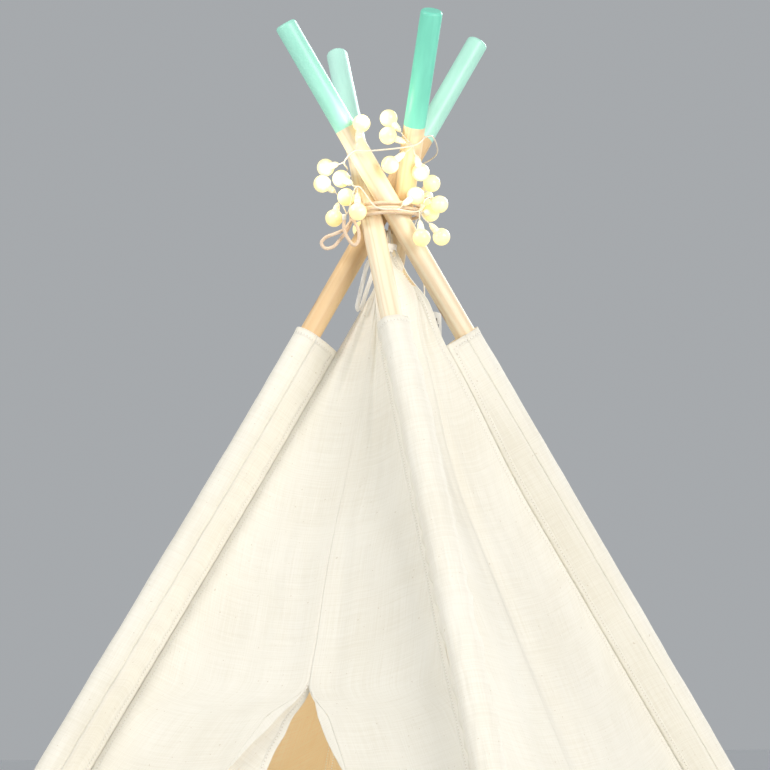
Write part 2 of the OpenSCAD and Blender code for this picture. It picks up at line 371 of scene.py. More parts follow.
def canvas(name, light, deep, seam, glow=0.0, thread=0.0011, stitched=True):
    """Woven cotton with slubs and flecks, and a stitched band along its edges; thread is the weave's pitch; seam is
    the colour of the painted shade in the stitch line's dimples; glow is a painted glow.
    """
    g = Graph(name, Sheen_Weight=0.12, Sheen_Roughness=0.5, Specular_IOR_Level=0.15)
    u, v, _ = g.uv("weave")
    wave = lambda x: g.math("SINE", g.mul(x, 2 * math.pi / thread))
    over = g.mul(wave(u), wave(v))
    slub_u = g.noise(g.vec(g.mul(u, 12.0), g.mul(v, 620.0)), 1.0, 2.0)
    slub_v = g.noise(g.vec(g.mul(u, 620.0), g.mul(v, 12.0)), 1.0, 2.0)
    slubs = g.add(slub_u, slub_v)
    blot = g.noise(g.vec(u, v), 5.0, 4.0)
    tone = g.ramp(g.add(g.mul(slubs, 0.35), g.mul(blot, 0.5)), 0.42, 0.82)
    color = g.mix(tone, light, deep)
    flecks = g.ramp(g.noise(g.vec(u, v, 3.0), 210.0, 1.0), 0.735, 0.77)
    color = g.mix(g.mul(flecks, 0.3), color, lin(176, 150, 108))
    height = g.add(g.mul(over, 0.35), g.mul(slubs, 1.2))
    soft = g.noise(g.vec(u, v, 9.0), 14.0, 3.0, 0.45)
    normal = g.bump(soft, 0.35, 0.012)
    normal = g.bump(height, 0.35, 0.0006, normal)
    if stitched:
        e, s, _ = g.uv("edge")
        band = g.sub(1.0, g.ramp(e, 0.0085, 0.0100))
        color = g.mix(g.mul(band, 0.25), color, light)
        stitch_at, stitch_len = 0.0072, 0.0042
        line = g.sub(1.0, g.ramp(g.math("ABSOLUTE", g.sub(e, stitch_at)), 0.0004, 0.0009))
        beat = g.math("FRACT", g.math("DIVIDE", s, stitch_len))
        dash = g.ramp(g.math("ABSOLUTE", g.sub(beat, 0.5)), 0.36, 0.30)
        mark = g.mul(line, dash)
        # painted shade: the stitch line's dimples between the dashes are darkened towards the seam colour
        dimple_shade = g.sub(g.mul(line, 0.8), mark)
        color = g.mix(g.mul(dimple_shade, 0.45), color, seam)
        color = g.mix(g.mul(mark, 0.8), color, lin(250, 246, 236))
        h = g.add(g.mul(band, 0.9), g.sub(mark, g.mul(line, 0.9)))
        normal = g.bump(h, 0.8, 0.0009, normal)
    mat = g.end(color, 0.9, normal)
    # painted glow: the cloth gives off its own colour as light, standing in for light coming through the canvas
    if glow:
        g.put(g.out.inputs["Emission Color"], color)
        g.put(g.out.inputs["Emission Strength"], glow)
    return mat


OUTER = canvas("canvas", lin(246, 242, 230), lin(235, 229, 213), lin(196, 182, 150))
# the inner side's warm, darker colours and its glow are painted light and shade: light coming through the canvas, and
# the shade inside the tent
INNER_PAINTED_LIGHT = canvas("canvas_inner_painted_light", lin(236, 220, 188), lin(224, 202, 158), lin(196, 160, 108), glow=0.30)
# painted highlight: the cloth's cut edges are a little lighter than its faces
EDGE_PAINTED_HIGHLIGHT = canvas("canvas_edge_painted_highlight", lin(250, 245, 234), lin(240, 233, 218), lin(206, 192, 160), stitched=False)
CLOTH_MATS = [OUTER, INNER_PAINTED_LIGHT, EDGE_PAINTED_HIGHLIGHT]

# one colour for each pole, in the order of CORNERS: each pole's pine has its own tone and also painted light and
# shade, and the one mint paint is made lighter or darker on each pole as painted light and shade
WOOD_TONE_AND_SHADE = [(248, 233, 204), (245, 224, 188), (236, 204, 158), (249, 236, 208)]
MINT_LIT_AND_SHADED = [(172, 238, 218), (130, 226, 200), (184, 238, 220), (196, 244, 230)]


def pine(name, c):
    """Sanded pine with its grain along one pole, and paint on the tip."""
    st, down, _, _ = axes(c)
    g = Graph(name, Coat_Weight=0.12, Coat_Roughness=0.3)
    p = g.vmath("SUBTRACT", g.place(), tuple(st))
    s = g.vmath("DOT_PRODUCT", p, tuple(-down), out=1)
    along = g.node("VectorMath", {0: tuple(-down), 3: s}, operation="SCALE")
    flat = g.vmath("SUBTRACT", p, along)
    fx, fy, fz = g.split(flat)
    grain = lambda across, along: g.vec(g.mul(fx, across), g.mul(fy, across), g.mul(s, along))
    warp = g.noise(g.vec(fx, fy, g.add(fz, g.mul(s, 0.045 + 0.01 * c))), 26.0, 3.0, 0.55)
    x = g.add(g.mul(fx, 230.0 + 30 * c), g.mul(warp, 11.0))
    x = g.add(x, g.mul(fy, 90.0))
    rings = g.mul(g.add(g.math("SINE", g.mul(x, 3.1)), 1.0), 0.5)
    rings = g.math("POWER", rings, 2.2)
    fibre = g.noise(grain(1400.0, 22.0), 1.0, 3.0, 0.6)
    broad = g.noise(grain(20.0, 5.0), 1.0, 2.0)
    wood = g.mix(g.ramp(broad, 0.3, 0.7), lin(*WOOD_TONE_AND_SHADE[c]), lin(*[v - 9 for v in WOOD_TONE_AND_SHADE[c]]))
    wood = g.mix(g.mul(rings, 0.28), wood, lin(216, 170, 114))
    wood = g.mix(g.mul(g.ramp(fibre, 0.55, 0.8), 0.3), wood, lin(204, 158, 106))
    knots = g.node("TexVoronoi", {"Vector": grain(26.0, 6.5), "Scale": 1.0})
    knot = g.sub(1.0, g.ramp(knots, 0.05, 0.13))
    wood = g.mix(g.mul(knot, 0.75), wood, lin(150, 98, 56))
    line = g.add(s, g.mul(g.noise(flat, 60.0, 2.0), 0.003))
    paint = g.ramp(line, 0.1152, 0.1164)  # the paint starts this far up the pole from the crossing
    shade = g.noise(grain(90.0, 14.0), 1.0, 3.0)
    mint = g.mix(g.ramp(shade, 0.3, 0.7), lin(*MINT_LIT_AND_SHADED[c]), lin(*[v - 10 for v in MINT_LIT_AND_SHADED[c]]))
    color = g.mix(paint, wood, mint)
    rough = g.sub(0.56, g.mul(paint, 0.16))
    height = g.add(g.mul(fibre, 0.6), g.mul(rings, -0.35))
    height = g.mul(height, g.sub(1.0, g.mul(paint, 0.7)))
    height = g.add(height, g.mul(paint, 0.5))
    return g.end(color, rough, g.bump(height, 0.5, 0.0004))


def plain(name, light, deep, rough, scale=240.0, depth=0.00012, stretch=(1, 1, 1), **uniform):
    """A metal or plastic with a fine grain of the given scale and depth."""
    g = Graph(name, **uniform)
    p = g.vmath("MULTIPLY", g.place(), stretch)
    fine, broad = g.noise(p, scale, 3.0, 0.6), g.noise(p, scale / 9, 3.0)
    tone = g.ramp(g.add(g.mul(fine, 0.5), g.mul(broad, 0.5)), 0.35, 0.65)
    color = g.mix(tone, light, deep)
    r = g.add(rough - 0.06, g.mul(broad, 0.12))
    return g.end(color, r, g.bump(fine, 0.4, depth))


STEEL = plain("steel", lin(196, 198, 200), lin(168, 170, 173), 0.3, 500.0, 0.00005, (1, 1, 0.06),
              Metallic=1.0)
CAP = plain("cap", lin(232, 228, 218), lin(220, 215, 203), 0.5, 420.0)
WIRE_MAT = plain("wire", lin(240, 234, 220), lin(224, 214, 196), 0.32, 300.0, 0.00005, Coat_Weight=0.4)
# painted glow: the plastic sockets give off a faint warm light, as if lit by their bulbs
SOCKET_PAINTED_GLOW = plain("socket", lin(250, 246, 226), lin(240, 232, 204), 0.4, 380.0, 0.00006,
               Emission_Color=lin(255, 240, 190), Emission_Strength=0.12)
CASE = plain("case", lin(236, 233, 224), lin(226, 222, 211), 0.42, 600.0, 0.00008)
SWITCH = plain("switch", lin(86, 86, 88), lin(70, 70, 73), 0.45, 500.0)
CELL = plain("cell", lin(190, 194, 198), lin(160, 164, 170), 0.35, 300.0, 0.00005, Metallic=0.8)


def fibre_cord(name, light, deep):
    g = Graph(name, Sheen_Weight=0.25, Specular_IOR_Level=0.2)
    u, v, _ = g.uv("weave")
    fuzz = g.noise(g.vec(g.mul(u, 2600.0), g.mul(v, 500.0)), 1.0, 3.0)
    broad = g.noise(g.vec(u, v), 60.0, 2.0)
    tone = g.ramp(g.add(g.mul(fuzz, 0.6), g.mul(broad, 0.4)), 0.35, 0.65)
    color = g.mix(tone, light, deep)
    return g.end(color, 0.85, g.bump(fuzz, 0.5, 0.0003))


COTTON = fibre_cord("cotton_cord", lin(240, 220, 198), lin(216, 188, 158))
RIBBON = canvas("ribbon", lin(250, 248, 242), lin(238, 234, 224), lin(220, 212, 196),
                thread=0.0007, stitched=False)


def bulb_glass():
    g = Graph("bulb", Coat_Weight=0.3)
    p = g.place()
    n = g.noise(p, 55.0, 2.0)
    color = g.mix(g.ramp(n, 0.3, 0.7), lin(250, 240, 196), lin(250, 232, 172))
    frost = g.noise(p, 900.0, 2.0)
    glow = g.mix(g.ramp(n, 0.35, 0.65), lin(255, 244, 182), lin(255, 236, 150))
    return g.end(color, 0.35, g.bump(frost, 0.2, 0.0001), Emission_Color=glow, Emission_Strength=0.42)


BULB = bulb_glass()
PINES = [pine("pine_" + n, c) for c, n in enumerate(CORNERS)]


def dress(node, mat):
    """Gives a CAD node its material."""
    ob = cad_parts[node]
    ob.data.materials.clear()
    ob.data.materials.append(mat)


for c, n in enumerate(CORNERS):
    for part, mat, slot in (("pole_upper_", PINES[c], "pine"), ("pole_lower_", PINES[c], "pine"),
                            ("ferrule_", STEEL, "steel"), ("foot_cap_", CAP, "cap")):
        dress(part + n, mat)
for n, mat, slot in (("battery_case", CASE, "case"), ("battery_lid", CASE, "case"),
                     ("battery_switch", SWITCH, "switch"), ("battery_cells", CELL, "cell")):
    dress(n, mat)


# ---- cords and lights, measured from the crossing in millimetres
HUBV = np.array([0, 0, HUB])
BOW = [(-20, -39, -14), (-27, -42, -20), (-33, -48, -30), (-44, -54, -36), (-55, -58, -40), (-61, -60, -47),
       (-57, -57, -54), (-48, -52, -52), (-41, -47, -43), (-34, -41, -31), (-31, -36, -20), (-30, -38, -10),
       (-26, -45, -8), (-21, -48, -18), (-14, -47, -32), (-14, -46, -45), (-19, -48, -52), (-25, -51, -46),
       (-30, -55, -32), (-29, -56, -16)]
WIRE = [(14, 76, -129), (14, 76, -114), (10, 80, -75), (4, 84, -40), (2, 70, -16), (-26, 54, 0),
        (-46, 34, 10), (-52, 6, 16), (-56, -20, 20), (-44, -28, -2), (-30, -44, -8), (-10, -54, 22),
        (14, -50, -6), (38, -38, -10), (54, -10, -10), (50, 14, 8), (42, 40, 16), (10, 58, 20),
        (-26, 54, 34), (-54, 30, 44), (-56, 0, 50), (-36, -34, 50), (-30, -52, 56), (-8, -64, 66),
        (16, -62, 64), (62, -36, 70), (73, -22, 82), (74, -4, 84), (44, 60, 76), (14, 70, 66),
        (-14, 52, 60), (-20, 44, 50)]
BULBS = [(6, -70, 99), (29, -40, 108), (32, -48, 84), (-65, -40, 54), (-64, -51, 31), (-42, -40, 37), (-34, -42, 12),
         (-9, -56, -11), (-54, -39, -13), (33, -45, 47), (60, -14, 39), (67, 22, 2), (68, 24, -40), (62, -18, -46),
         (51, -12, 10), (48, 33, -6), (-40, 66, 24), (14, 80, 24), (40, 52, 36), (-56, 34, -18)]
BULB_R, SOCKET_LEN = 0.01125, 0.013
BULB_REACH = 0.034  # a bulb hangs about this far from its wire


def at_hub(points):
    """From millimetres round the crossing to metres in the frame."""
    return np.array(points, float) / 1000 + HUBV


def make_cords():
    radius, turns, top, drop = 0.043, 3, 0.006, 0.019
    k = np.arange(121) / 120
    a = np.radians(250 - 360 * turns * k)
    helix = np.stack([radius * np.cos(a), radius * np.sin(a), HUB + top - drop * k], 1)
    helix = spline(helix, CORD_STEP)
    lash = cord_mesh("lashing_cord_wound", helix, CORD_D, COTTON, 18, strands=3, lay=0.021)
    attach(lash, "canopy")
    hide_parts("lashing_cord")
    line = spline(at_hub(BOW), CORD_STEP)
    bow = cord_mesh("lashing_bow_loops", line, CORD_D, COTTON, 18, strands=3, lay=0.021)
    way = line[-1] - line[-4]
    start = line[-1] - way / np.linalg.norm(way) * 0.004
    whipping = [(0, 0.0021), (0.0015, 0.0027), (0.004, 0.0026), (0.006, 0.0029), (0.0075, 0.0022)]
    v, f = lathe(whipping, start, way, 14)
    tip = mesh_object("lashing_bow_whipping", v, f, [RIBBON], uvs=no_edge(v[:, :2]))
    for o in (bow, tip):
        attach(o, "canopy")
    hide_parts("lashing_bow")


def globe(b, way):
    """A bulb: a globe with a short neck and a faint mould line."""
    prof = []
    for t in np.linspace(0, math.pi, 25)[1:-1]:
        x, r = -math.cos(t) * BULB_R, math.sin(t) * BULB_R
        r *= 1 + 0.012 * math.exp(-((t - math.pi / 2) / 0.06) ** 2)
        if x > BULB_R * 0.9:
            r = max(r, 0.0038)
        prof.append((x, r))
    return lathe([(-BULB_R, 0.0002)] + prof + [(BULB_R + 0.0008, 0.0036)], b, way, 30)


def lead_pair(a, z, way):
    """The two strands of a lead from a socket to the wire, twisted together and sagging a little."""
    sag = np.array([0, 0, -0.0015]) + np.cross(way, [0.3, 0.2, 1.0]) * 0.0012
    line = spline([a, (a + z) / 2 + sag, z], CORD_STEP)
    _, n, b = carry(line)
    strands = []
    for turn in (0.0, math.pi):
        s = np.linspace(0, 1, len(line)) * length_of(line) / 0.007 * 2 * math.pi + turn
        twin = line + 0.0005 * (np.cos(s)[:, None] * n + np.sin(s)[:, None] * b)
        strands.append(ring_tube(twin, LEAD_D, 8))
    return strands


def make_lights():
    pts = at_hub(WIRE)
    # the two strands of the flex are twisted together
    line = spline(pts, 0.0014)
    flex = cord_mesh("light_wire_flex", line, FLEX_D, WIRE_MAT, 12, strands=2, lay=0.012)
    far = BULB_R + SOCKET_LEN
    socket = [(0.0100, 0.0040), (0.0101, 0.00455), (0.0118, 0.00465), (0.0124, 0.00450), (0.0152, 0.00440),
              (0.0156, 0.00395), (0.0162, 0.00390), (0.0165, 0.00425), (0.0190, 0.00405), (0.0194, 0.00335),
              (0.0220, 0.0031), (0.0224, 0.0022), (far, 0.0018)]
    leads, sockets, bulbs = [], [], []
    for b in at_hub(BULBS):
        q = pts[int(np.argmin(np.abs(np.linalg.norm(pts - b, axis=1) - BULB_REACH)))]
        near = line[int(np.argmin(np.linalg.norm(line - q, axis=1)))]
        way = (near - b) / np.linalg.norm(near - b)
        bulbs.append(globe(b, way))
        sockets.append(lathe(socket, b, way, 20))
        a = b + way * (far - 0.0015)
        if np.linalg.norm(near - a) > 0.002:
            leads += lead_pair(a, near, way)
    for name, parts, mat, node, slot in (("light_bulbs", bulbs, BULB, "bulbs", "bulb"),
                                         ("light_sockets", sockets, SOCKET_PAINTED_GLOW, "bulb_sockets", "socket"),
                                         ("light_leads", leads, WIRE_MAT, "bulb_leads", "wire")):
        v, f = join(parts)
        o = mesh_object(name, v, f, [mat], uvs=no_edge(v[:, :2]))
        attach(o, "canopy")
        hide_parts(node)
    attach(flex, "canopy")
    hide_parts("light_wire")


make_cords()
make_lights()


# ---- cloth
SIDES = ["front", "right", "back", "left"]
HALVES = {("front", -1): "panel_front_left_half", ("front", 1): "panel_front_right_half",
          ("right", -1): "panel_right_front_half", ("right", 1): "panel_right_back_half",
          ("back", -1): "panel_back_right_half", ("back", 1): "panel_back_left_half",
          ("left", -1): "panel_left_back_half", ("left", 1): "panel_left_front_half"}
SLEEVE_END = FOOT_LEN - 0.050
COS_T = math.cos(TILT)
PHOTO_RIGHT = np.array([0.872, 0.489, 0])


def waves(seed, n, low, high):
    """Frequency, direction, phase and weight of n random waves."""
    r = np.random.default_rng(seed)
    return [(r.uniform(low, high), r.uniform(0, math.pi), r.uniform(0, 6.28), r.uniform(0.5, 1.0)) for _ in range(n)]


def ripple(x, y, seed, n=6, low=20, high=60):
    """Smooth noise of about -1 to 1 from a few waves, with frequencies in radians a metre."""
    total = 0
    for k, a, p, w in waves(seed, n, low, high):
        sway = 1.3 * np.sin(0.37 * k * (x * math.sin(a) - y * math.cos(a)) + 2 * p)
        total = total + w * np.sin(k * (x * math.cos(a) + y * math.sin(a)) + p + sway)
    return total / (0.75 * n)


def bulge(L):
    """How far the front-left corner bows outwards along its pole."""
    return 0.009 * smooth(L, 0.25, 0.95) * (1 - smooth(L, 1.25, 1.58))


def seam_at(c, L):
    """The seam line of a corner at a distance along its pole."""
    st, down, out, side = axes(c)
    L = np.asarray(L, float)
    inset, t = INSET + 0 * L, 0 * L
    if c == 0:
        f = 1 - smooth(L, 0.19, 0.42)
        inset, t = inset - 0.008 * f, t - 0.012 * f
    if c == 2:
        inset = inset - bulge(L)
    return st + L[..., None] * down - inset[..., None] * out + t[..., None] * side


def seam_z(c, z):
    """The cover's corner at each height, gathered to a small bundle at the top, and its distance along the pole."""
    z = np.asarray(z, float)
    L = (HUB - z - INSET * math.sin(SPLAY)) / math.cos(SPLAY)
    for _ in range(5):
        L = L + (seam_at(c, L)[..., 2] - z) / math.cos(SPLAY)
    e = seam_at(c, L)
    a = math.radians(45 + 90 * c)
    bundle = np.stack([0.0085 * np.cos(a) + 0 * z, 0.0085 * np.sin(a) + 0 * z, z], -1)
    f = smooth(z, 1.292, 1.378)[..., None]
    e = e * (1 - f) + bundle * f
    if c == 0:
        lean = 0.011 * smooth(z, 1.235, 1.30) * (1 - smooth(z, 1.345, 1.38))
        e = e + PHOTO_RIGHT * lean[..., None]
    return e, L


def middle(side, z):
    """Where the middle line lies across a panel; the door's slit starts a little to the right."""
    z = np.asarray(z, float)
    if side != 0:
        return 0 * z
    return 0.008 * smooth(z, 0.99, 0.83) * (1 - smooth(-z, -0.815, -0.70))


def turned(side, v):
    """A direction of the front panel, turned to another side."""
    co, si = math.cos(math.radians(90 * side)), math.sin(math.radians(90 * side))
    v = np.asarray(v, float)
    return np.stack([v[..., 0] * co - v[..., 1] * si, v[..., 0] * si + v[..., 1] * co, v[..., 2]], -1)


def outward(side):
    """A panel's outward normal."""
    return turned(side, np.array([0, -COS_T, math.sin(TILT)]))


def relief(side, s, z, w):
    """How far the cloth stands out of the plane between its two seams: s runs from -1 to 1 across it."""
    a = np.abs(s)
    body = 1 - smooth(z, 1.02, 1.28)
    gather = smooth(z, 1.10, 1.30)
    rim = (1 - a) * w
    sag = [0.007, 0.017, 0.011, 0.009][side]
    d = -sag * (1 - a**1.6) * (0.35 + 0.65 * body) * smooth(z, -0.2, 0.35)
    # the long soft folds seen in the photo
    if side == 1:
        d = d + 0.007 * np.exp(-((s + 0.42) / 0.16) ** 2) * (1 - a) ** 0.5 * body
        d = d - 0.006 * np.exp(-((s - 0.08 + 0.1 * (z - 0.8)) / 0.09) ** 2) * body
        d = d - 0.006 * np.exp(-((s + 0.62) / 0.15) ** 2) * smooth(z, 1.02, 1.14) * (1 - smooth(z, 1.3, 1.36))
    if side == 0:
        above = smooth(z, 0.78, 0.84) * (1 - smooth(z, 0.90, 1.12))
        d = d + 0.0042 * np.exp(-((s * w + 0.004) / 0.018) ** 2) * above
        beside = smooth(z, 0.62, 0.8) * (1 - smooth(z, 0.95, 1.1))
        d = d + 0.004 * np.exp(-((s * w - 0.09 - 0.9 * (0.95 - z)) / 0.035) ** 2) * beside
    # the cloth's own unevenness, the puckers along the seams, and the gathers at the top
    pull = ripple(s * w, z * 0.8, 11 + side, 6, 14, 40)
    d = d + 0.0024 * pull * (1 - a**4) * smooth(z, 0.0, 0.1)
    drag = ripple(s * (0.9 * w + 0.3 * z), z * 0.15 - 0.1 * s * w, 31 + side, 5, 30, 85)
    d = d + 0.0011 * drag * (1 - a**3)
    pucker = np.sin(z * 150 + 3 * np.sin(z * 23 + side) + (s > 0) * 2.0) + 0.5 * np.sin(z * 263 + side)
    uneven = 0.5 + 0.5 * ripple(z, 0 * z, 50 + side + int(s[0, -1] > 0), 4, 6, 20)
    d = d + 0.0013 * pucker * (rim / 0.012) * np.exp(1 - rim / 0.012) / 1.6 * uneven * (1 - gather)
    folds = np.cos(s * 9.0 + side) + 0.5 * np.cos(s * 17 + 2 * side + 4 * z)
    d = d + gather * 0.0026 * folds * (1 - a**6) * np.clip(w / 0.03, 0.3, 1)
    return d


def panel_surface(side, z, x):
    """Point of a panel's middle surface at height z (rows) and distance x across it (rows, columns)."""
    A, _ = seam_z((2 + side) % 4, z)
    B, _ = seam_z((3 + side) % 4, z)
    across = turned(side, np.array([1.0, 0, 0]))
    xa, xb = A @ across, B @ across
    x = np.clip(x, xa[:, None], xb[:, None])
    t = (x - xa[:, None]) / (xb - xa)[:, None]
    base = A[:, None] + t[..., None] * (B - A)[:, None]
    m = middle(side, z)[:, None]
    width = np.where(x < m, m - xa[:, None], xb[:, None] - m)
    s = np.clip((x - m) / width, -1, 1)
    zz = np.broadcast_to(z[:, None], x.shape)
    return base + relief(side, s, zz, width)[..., None] * outward(side), s, width


def fold_line(hand, dv):
    """The door's fold line: distance from the middle at a distance down the slope from the slit's top."""
    k = smooth(dv, 0, 0.05)
    return (DOOR_START + DOOR_SLOPE * dv) * k + 0.008 * hand * (1 - k)


def spread(P):
    """Lengths across and along a grid, as flat cloth would have them."""
    du = np.linalg.norm(np.diff(P, axis=1), axis=2)
    dv = np.linalg.norm(np.diff(P, axis=0), axis=2)
    u = np.concatenate([np.zeros((P.shape[0], 1)), np.cumsum(du, axis=1)], 1)
    v = np.concatenate([np.zeros((1, P.shape[1])), np.cumsum(dv, axis=0)], 0)
    return u, v


def make_half(side, hand):
    """Half of a panel, from its middle line or the door's fold line to the seam at its corner."""
    name = HALVES[(SIDES[side], hand)]
    front = side == 0
    # rows lie closer in the gathered top, and one lies at the slit's top
    upper = np.concatenate([np.linspace(TOP_Z, 1.20, 34)[:-1], np.linspace(1.20, SLIT, 46)])
    z = np.concatenate([upper[:-1], np.linspace(SLIT, HEM_Z, 78)])
    A, _ = seam_z((2 + side) % 4, z)
    B, _ = seam_z((3 + side) % 4, z)
    across = turned(side, np.array([1.0, 0, 0]))
    rim = (A if hand < 0 else B) @ across
    inner = middle(side, z)
    if front:
        dv = (SLIT - z) / COS_T
        below = z < SLIT - 1e-9
        inner[below] = (hand * fold_line(hand, dv))[below]
    # columns lie closer near both edges
    t = np.linspace(0, 1, 47)
    f = 0.45 * t + 0.55 * (0.5 - 0.5 * np.cos(np.pi * t))
    x = inner[:, None] + (rim - inner)[:, None] * f[None]
    P, _, _ = panel_surface(side, z, x)
    N = grid_normals(P, outward(side))
    # the two halves share one surface, so their common edge has one normal
    beyond, _, _ = panel_surface(side, z, (2 * x[:, 0] - x[:, 1])[:, None])
    n = np.cross(P[:, 1] - beyond[:, 0], np.gradient(P[:, 0], axis=0))
    size = np.linalg.norm(n, axis=1)
    joined = (size > 1e-9) & (z > (SLIT if front else 0))
    N[joined, 0] = (n * np.sign(n @ outward(side))[:, None])[joined] / size[joined, None]
    u, v = spread(P)
    to_rim, to_hem = np.linalg.norm(P - P[:, -1:], axis=2), v[-1:] - v
    edge = np.stack([np.minimum(to_rim, to_hem), np.where(to_rim < to_hem, v, u)], -1)
    ob = thick_sheet("cloth_" + name, P, N, np.stack([hand * u, v], -1), edge, CLOTH_MATS)
    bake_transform(ob)
    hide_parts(name)


def make_flap(hand):
    """A door flap: flat beside the fold line, then gathered in pleats that curl inwards."""
    name = "left" if hand < 0 else "right"
    rows, cols = 90, 57
    drop = (SLIT - HEM_Z) / COS_T
    q = np.linspace(0, 1, cols)
    r = np.linspace(0, 1, rows)[:, None]
    dv = r * (drop - 0.18 * drop * smooth(q, 0.05, 0.55))[None]
    F = fold_line(hand, dv)
    # e is the visible hem as far as the photo shows it; gather is how far the cloth goes on behind it
    if hand < 0:
        e = np.interp(dv, [0, 0.015, 0.026, 0.043, 0.064, 0.082, 0.117],
                      [-0.008, -0.002, 0.006, 0.023, 0.039, 0.057, 0.0845])
        gather = np.interp(dv, [0, 0.045, 0.117, 0.3, 0.9], [0.001, 0.009, 0.036, 0.046, 0.050])
    else:
        e = np.interp(dv, [0, 0.016, 0.048, 0.074, 0.095, 0.118], [0.008, 0.016, 0.030, 0.046, 0.062, 0.0815])
        gather = np.interp(dv, [0, 0.045, 0.117, 0.3, 0.9], [0.001, 0.004, 0.009, 0.040, 0.050])
    guessed = F - 0.001 - 0.004 * (0.5 + 0.5 * np.sin(dv * 21 + hand))
    e = np.where(dv > 0.117, guessed, np.minimum(e, F - 0.0006))
    depth = np.interp(dv, [0, 0.02, 0.06, 0.13, 0.4, 0.9], [0.001, 0.004, 0.012, 0.020, 0.026, 0.030])
    pleat = smooth(dv, 0.11, 0.36)
    tie = np.exp(-((dv - TIE_DOWN) / 0.035) ** 2)
    gather, depth = gather * (1 - 0.25 * tie), depth * (1 - 0.35 * tie)
    flat = 0.16  # the part of the width beside the fold line that has no pleats
    qq = np.clip((q - flat) / (1 - flat), 0, 1)[None]
    flare = np.clip(q / flat, 0, 1)[None]
    pleats = 3.5
    wob = 0.5 * np.sin(dv * 9 + hand) + 0.3 * np.sin(dv * 23)
    phase = 2 * np.pi * (pleats * qq + 0.12 * wob * qq)
    x = F + (e - F) * flare - gather * qq - 0.0045 * np.sin(2 * phase) * smooth(qq, 0, 0.1) * pleat
    curl = (0.5 - 0.5 * np.cos(phase)) * pleat + (1 - pleat) * np.sin(np.pi / 2 * qq) ** 0.8
    inward = depth * curl * smooth(qq, 0, 0.12) + 0.0035 * smooth(qq, 0, 0.08) + 0.012 * smooth(dv, 0.03, 0.2) * qq
    z = SLIT - dv * COS_T
    base, _, _ = panel_surface(0, z.reshape(-1), (hand * x).reshape(-1, 1))
    P = base.reshape(rows, cols, 3) - inward[..., None] * outward(0)
    N = grid_normals(P, outward(0))
    # the flat part beside the fold line says which side is out
    if np.sum(N[:, :4] * outward(0), axis=2).mean() < 0:
        N = -N
    u, v = spread(P)
    edge = np.stack([np.minimum(u[:, -1:] - u, v[-1:] - v), v], -1)
    ob = thick_sheet("door_flap_cloth_" + name, P, N, np.stack([hand * u, v], -1), edge, CLOTH_MATS, t=0.001)
    # a point a little inside the fold line at the slit's top, and the fold line's way down
    down = np.array([0, -math.sin(TILT), -COS_T])
    lat = np.array([hand * 1.0, 0, 0])
    top = np.array([0, -(APEX - SLIT) * math.tan(TILT), SLIT])
    way = DOOR_SLOPE * lat + down
    inner = -(lat - way * (lat @ way) / (way @ way))
    inner /= np.linalg.norm(inner)
    k = math.cos(math.atan(DOOR_SLOPE))
    a = top + lat * DOOR_START + inner * 0.005 * k
    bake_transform(ob)
    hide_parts("door_flap_" + name)
    # the tape that holds the gathers
    i = int(np.argmin(np.abs(dv[:, cols // 2] - TIE_DOWN)))
    a = np.linspace(-0.35, 2 * np.pi - 0.55, 72)
    cx, cd = float(F[i, 0] - 0.020), 0.0165  # the loop's middle: from the panel's middle line, and inwards
    ring = []
    for t in np.linspace(-0.010, 0.010, 7):
        zc = SLIT - (TIE_DOWN + t + 0.0012 * np.sin(3 * a)) * COS_T
        xr = cx + DOOR_SLOPE * t + 0.0285 * np.cos(a)
        dr = cd + (0.0170 + 0.0008 * np.sin(5 * a)) * np.sin(a) + 0.0016 * np.arange(len(a)) / len(a)
        b, _, _ = panel_surface(0, zc, (hand * xr)[:, None])
        ring.append(b[:, 0] - (dr + 0.001)[:, None] * outward(0))
    ring = np.array(ring)
    N = grid_normals(ring, ring - ring.mean(axis=(0, 1)))
    u, v = spread(ring)
    edge = np.stack([np.minimum(v, v[-1:] - v) * 0.6 + 0.004, u], -1)
    tape = thick_sheet("tie_back_tape_" + name, ring, N, np.stack([u, v], -1), edge, [RIBBON] * 3, t=0.0009)
    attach(tape, "half_front_" + name)
    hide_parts("tie_back_" + name)


def off_pole(P, c, least=0.0163):
    """Pushes points of a sleeve out of its pole and ferrule."""
    st, down, _, _ = axes(c)
    v = P - st
    radial = v - (v @ down)[..., None] * down
    r = np.linalg.norm(radial, axis=-1, keepdims=True)
    return P + radial / r * np.maximum(0, least - r)


